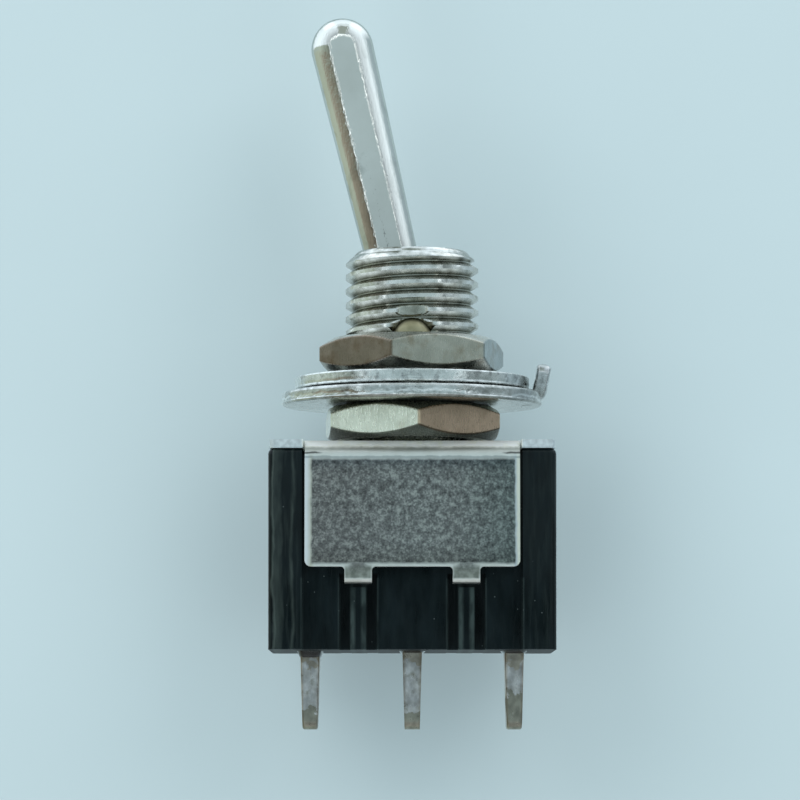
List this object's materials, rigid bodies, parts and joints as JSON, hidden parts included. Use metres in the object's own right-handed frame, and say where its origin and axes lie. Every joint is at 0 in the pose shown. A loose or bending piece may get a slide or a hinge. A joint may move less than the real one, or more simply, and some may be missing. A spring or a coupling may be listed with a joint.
{
  "type": "toggle switch",
  "caption": "Miniature panel-mount toggle switch: bat lever on a threaded bushing, bent metal cover crimped on a black case, solder lugs below.",
  "frame": {"origin": "on the bushing's axis at the upper nut's top face, where the free stretch of the mounting thread begins", "axes": "+Z along the bushing's axis from the case towards the lever; +X towards the locking ring's bent tab, along the row of terminals; +Y towards the bushing's keyway"},
  "size_m": [0.0132, 0.0121, 0.0332],
  "materials": {
    "lever": "polished nickel plate",
    "bushing": "nickel plate over a cut thread",
    "pivot_pin": "bare brass end",
    "plunger": "natural moulded",
    "plunger_spring": "drawn wire",
    "rocker": "stamped strip",
    "rocker_contact_left": "silver",
    "rocker_contact_right": "silver",
    "case": "black moulded, half gloss",
    "cover": "bright tin plate with fine mottling",
    "terminal_left": "silver plate, brown tarnish",
    "terminal_common": "silver plate, brown tarnish",
    "terminal_right": "silver plate, brown tarnish",
    "fixed_contact_left": "silver",
    "fixed_contact_right": "silver",
    "seal_left": "cured resin",
    "seal_common": "cured resin",
    "seal_right": "cured resin",
    "upper_nut": "nickel plate, milled flats",
    "lower_nut": "nickel plate, milled flats",
    "tooth_washer": "nickel plate",
    "locking_ring": "nickel plate"
  },
  "bodies": {
    "base": {"bushing": "bushing", "pivot_pin": "pivot_pin", "case": "case", "cover": "cover", "terminal_left": "terminal_left", "terminal_common": "terminal_common", "terminal_right": "terminal_right", "fixed_contact_left": "fixed_contact_left", "fixed_contact_right": "fixed_contact_right", "seal_left": "seal_left", "seal_common": "seal_common", "seal_right": "seal_right", "tooth_washer": "tooth_washer", "locking_ring": "locking_ring"},
    "lever": {"lever": "lever", "plunger_spring": "plunger_spring"},
    "plunger": {"plunger": "plunger"},
    "rocker": {"rocker": "rocker", "rocker_contact_left": "rocker_contact_left", "rocker_contact_right": "rocker_contact_right"},
    "upper_nut": {"upper_nut": "upper_nut"},
    "lower_nut": {"lower_nut": "lower_nut"}
  },
  "joints": [
    {"name": "lever_tilt", "type": "hinge", "parent": "base", "child": "lever", "pos_m": [0, 0, -0.00015], "axis": [0, 1, 0], "range_deg": [0, 26.5]},
    {"name": "plunger_slide", "type": "slide", "parent": "lever", "child": "plunger", "axis": [-0.2292, 0, 0.9734], "range_m": [0, 0.0008], "stiffness_N_per_m": 600, "springref_m": -0.002, "deforming": ["plunger_spring"]},
    {"name": "rocker_tilt", "type": "hinge", "parent": "base", "child": "rocker", "pos_m": [0, 0, -0.01013], "axis": [0, 1, 0], "range_deg": [-12, 0]},
    {"name": "upper_nut_turn", "type": "hinge", "parent": "base", "child": "upper_nut", "pos_m": [0, 0, -0.0008], "axis": [0, 0, 1], "continuous": true},
    {"name": "lower_nut_turn", "type": "hinge", "parent": "base", "child": "lower_nut", "pos_m": [0, 0, -0.00397], "axis": [0, 0, 1], "continuous": true}
  ],
  "couplings": [
    {"joint": "rocker_tilt", "follows": "lever_tilt", "ratio": -0.4528}
  ]
}
